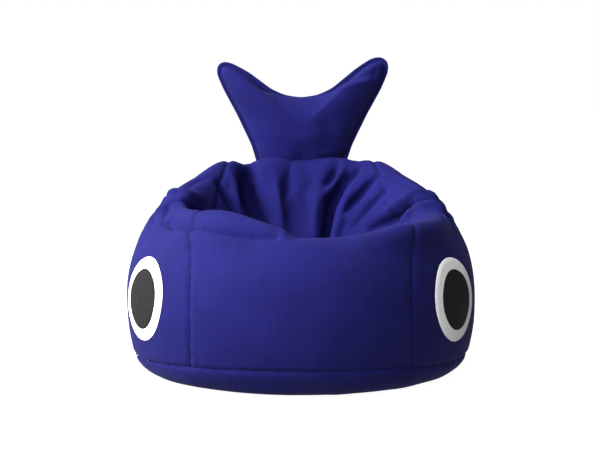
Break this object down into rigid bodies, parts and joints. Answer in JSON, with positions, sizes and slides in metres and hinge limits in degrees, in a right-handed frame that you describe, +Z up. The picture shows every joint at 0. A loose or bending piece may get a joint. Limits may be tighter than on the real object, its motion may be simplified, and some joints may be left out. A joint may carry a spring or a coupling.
{
  "type": "bean bag chair",
  "caption": "Low round bean bag chair shaped like a whale: a stuffed bag with a sat-in hollow, round eyes on its sides and an upright two-lobed tail behind the seat.",
  "frame": {"origin": "on the floor, at the middle of the footprint", "axes": "+Z up; the front, where the sitter's legs go, faces -Y; +X is on the right when seen from the front, so the nodes named left are at -X"},
  "size_m": [0.8498, 0.8698, 0.7475],
  "materials": {
    "cover_cloth": "brushed woven polyester, matte, cobalt blue",
    "white_felt": "smooth white felt, matte",
    "charcoal_felt": "smooth charcoal felt, matte",
    "liner_cloth": "undyed non-woven polypropylene cloth",
    "bead_filling": "expanded polystyrene beads, taken as one soft solid",
    "polyester_filling": "polyester fibre filling, taken as one soft solid",
    "zip_tape": "woven polyester tape, cobalt blue",
    "zip_nylon": "nylon coil, dyed blue",
    "zip_metal": "zinc alloy, nickel plated"
  },
  "bodies": {
    "bag": {"front_panel": "cover_cloth", "left_eye_panel": "cover_cloth", "right_eye_panel": "cover_cloth", "rear_left_panel": "cover_cloth", "rear_right_panel": "cover_cloth", "back_panel": "cover_cloth", "seat_panel": "cover_cloth", "base_front_panel": "cover_cloth", "base_rear_panel": "cover_cloth", "left_eye_white": "white_felt", "right_eye_white": "white_felt", "left_eye_pupil": "charcoal_felt", "right_eye_pupil": "charcoal_felt", "tail_root_band": "cover_cloth", "liner_top": "liner_cloth", "liner_base": "liner_cloth", "bean_fill": "bead_filling", "zip_tape_front": "zip_tape", "zip_tape_rear": "zip_tape", "zip_coil_front": "zip_nylon", "zip_coil_rear": "zip_nylon", "zip_end_stops": "zip_metal", "zip_guard": "liner_cloth"},
    "tail": {"tail_front_panel": "cover_cloth", "tail_rear_panel": "cover_cloth", "tail_flange": "cover_cloth", "tail_filling": "polyester_filling"},
    "slider": {"zip_slider": "zip_metal"}
  },
  "joints": [
    {"name": "tail_flex", "type": "hinge", "parent": "bag", "child": "tail", "pos_m": [0, 0.335, 0.482], "axis": [1, 0, 0], "range_deg": [-28, 20], "stiffness_Nm_per_rad": 12},
    {"name": "zip_slide", "type": "slide", "parent": "bag", "child": "slider", "axis": [1, 0, 0], "range_m": [-0.452, 0]}
  ]
}
